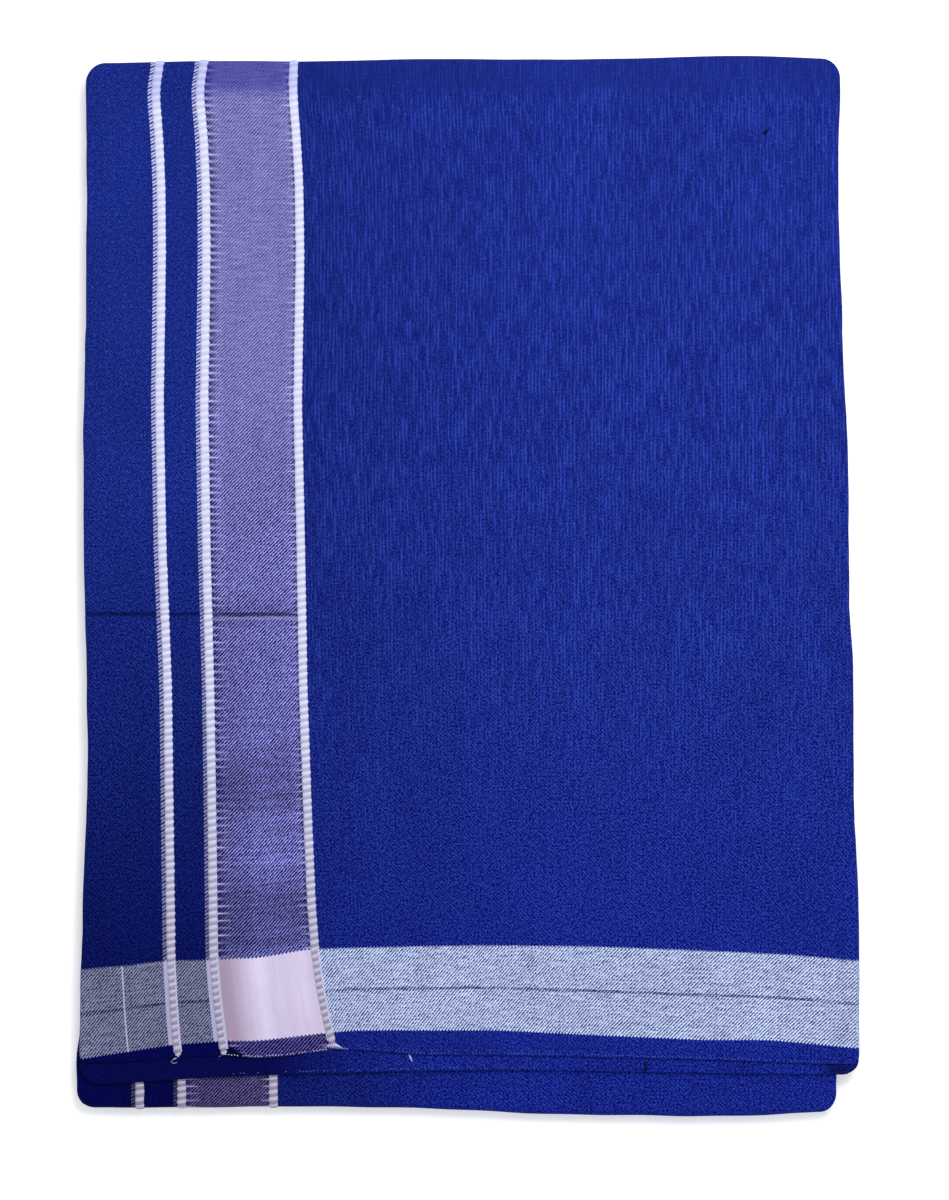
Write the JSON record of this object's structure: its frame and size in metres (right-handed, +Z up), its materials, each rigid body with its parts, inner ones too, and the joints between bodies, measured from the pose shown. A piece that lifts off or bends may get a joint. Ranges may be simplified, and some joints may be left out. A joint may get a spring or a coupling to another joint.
{
  "type": "folded dhoti cloth",
  "caption": "Flat folded packet of a blue cotton dhoti cloth, with raised white cords and a lavender band along one side and a pale woven band near its hemmed end.",
  "frame": {"origin": "middle of the packet's outline, on the flat underside", "axes": "+X across the packet, away from the woven border; +Y along it, from the hemmed end to the far fold; +Z up from the surface that it lies on"},
  "size_m": [0.3252, 0.4396, 0.015],
  "materials": {
    "blue_cotton": "plain-woven royal blue cotton, matt",
    "white_cord": "thick white cotton cords woven into the border, matt"
  },
  "bodies": {
    "root": {"top_panel": "blue_cotton", "second_panel": "blue_cotton", "second_turn": "blue_cotton", "inner_turns": "blue_cotton", "first_cord": "white_cord", "second_cord": "white_cord", "third_cord": "white_cord", "first_cord_turn": "white_cord", "second_cord_turn": "white_cord", "third_cord_turn": "white_cord"}
  },
  "joints": []
}
